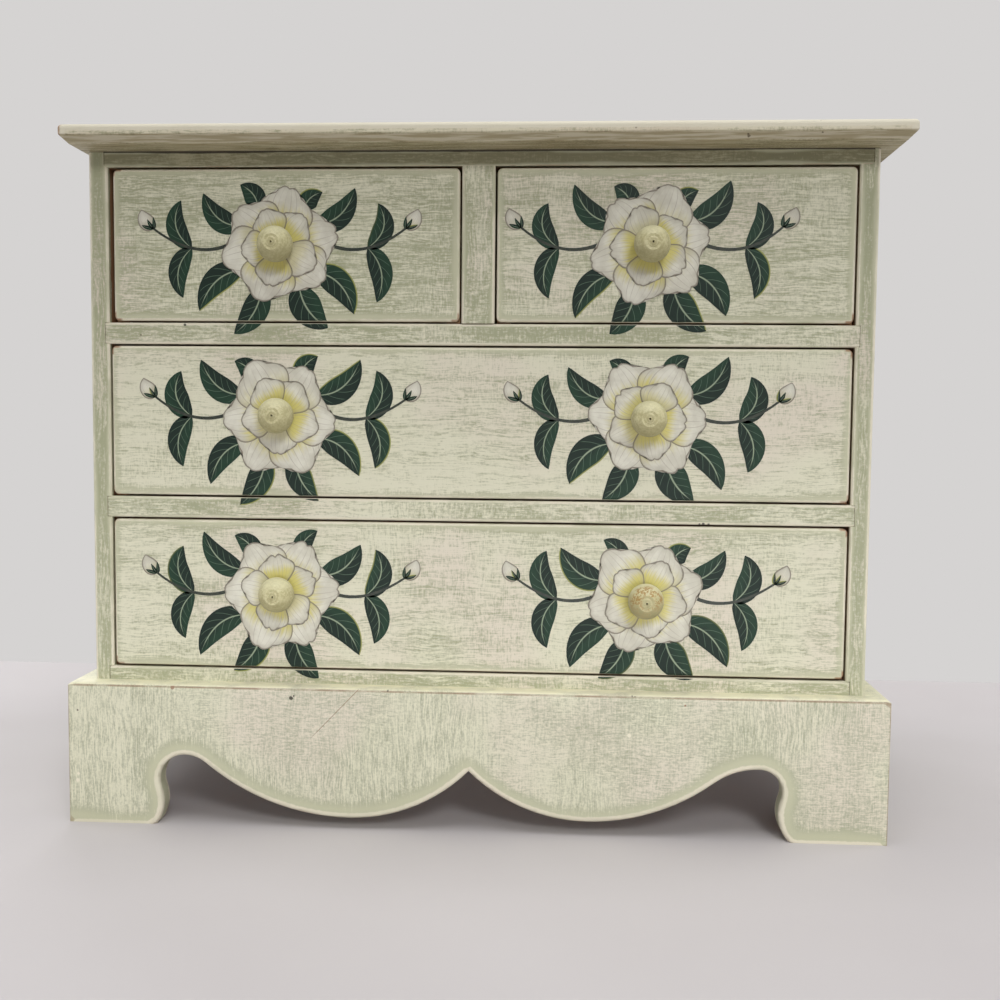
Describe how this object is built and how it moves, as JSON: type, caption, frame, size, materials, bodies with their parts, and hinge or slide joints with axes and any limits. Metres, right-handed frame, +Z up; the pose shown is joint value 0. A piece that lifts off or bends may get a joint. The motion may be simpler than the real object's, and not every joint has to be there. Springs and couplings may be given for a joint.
{
  "type": "jewellery chest",
  "caption": "Small painted wooden chest of drawers for jewellery: two short drawers over two long ones, moulded top, scalloped bracket plinth and ball knobs",
  "frame": {"origin": "on the floor under the middle of the chest's bounding box", "axes": "+X to the right of a viewer who faces the drawers, the drawers face -Y, +Z up"},
  "size_m": [0.3701, 0.2076, 0.3123],
  "materials": {
    "painted_case": "hand painted, dry brushed",
    "painted_top": "hand painted, worn edges",
    "painted_plinth": "hand painted, dry brushed",
    "painted_drawer_front": null,
    "bare_wood": "bare, sanded",
    "knob_paint": "painted, rubbed",
    "screw_steel": "plain zinc plated"
  },
  "bodies": {
    "case": {"back_panel": "bare_wood", "bottom_board": "painted_case", "corner_block_back_left": "bare_wood", "corner_block_back_right": "bare_wood", "corner_block_front_left": "bare_wood", "corner_block_front_right": "bare_wood", "partition": "painted_case", "plinth_front": "painted_plinth", "plinth_left": "painted_plinth", "plinth_right": "painted_plinth", "shelf_lower": "painted_case", "shelf_upper": "painted_case", "side_left": "painted_case", "side_right": "painted_case", "top_board": "painted_top", "top_rail": "painted_case"},
    "drawer_top_left": {"drawer_top_left_back": "bare_wood", "drawer_top_left_floor": "bare_wood", "drawer_top_left_front": "painted_drawer_front", "drawer_top_left_knob": "knob_paint", "drawer_top_left_screw": "screw_steel", "drawer_top_left_side_left": "bare_wood", "drawer_top_left_side_right": "bare_wood"},
    "drawer_top_right": {"drawer_top_right_back": "bare_wood", "drawer_top_right_floor": "bare_wood", "drawer_top_right_front": "painted_drawer_front", "drawer_top_right_knob": "knob_paint", "drawer_top_right_screw": "screw_steel", "drawer_top_right_side_left": "bare_wood", "drawer_top_right_side_right": "bare_wood"},
    "drawer_middle": {"drawer_middle_back": "bare_wood", "drawer_middle_floor": "bare_wood", "drawer_middle_front": "painted_drawer_front", "drawer_middle_knobs": "knob_paint", "drawer_middle_screws": "screw_steel", "drawer_middle_side_left": "bare_wood", "drawer_middle_side_right": "bare_wood"},
    "drawer_bottom": {"drawer_bottom_back": "bare_wood", "drawer_bottom_floor": "bare_wood", "drawer_bottom_front": "painted_drawer_front", "drawer_bottom_knobs": "knob_paint", "drawer_bottom_screws": "screw_steel", "drawer_bottom_side_left": "bare_wood", "drawer_bottom_side_right": "bare_wood"}
  },
  "joints": [
    {"name": "drawer_top_left_slide", "type": "slide", "parent": "case", "child": "drawer_top_left", "axis": [0, -1, 0], "range_m": [0, 0.155]},
    {"name": "drawer_top_right_slide", "type": "slide", "parent": "case", "child": "drawer_top_right", "axis": [0, -1, 0], "range_m": [0, 0.155]},
    {"name": "drawer_middle_slide", "type": "slide", "parent": "case", "child": "drawer_middle", "axis": [0, -1, 0], "range_m": [0, 0.155]},
    {"name": "drawer_bottom_slide", "type": "slide", "parent": "case", "child": "drawer_bottom", "axis": [0, -1, 0], "range_m": [0, 0.155]}
  ]
}
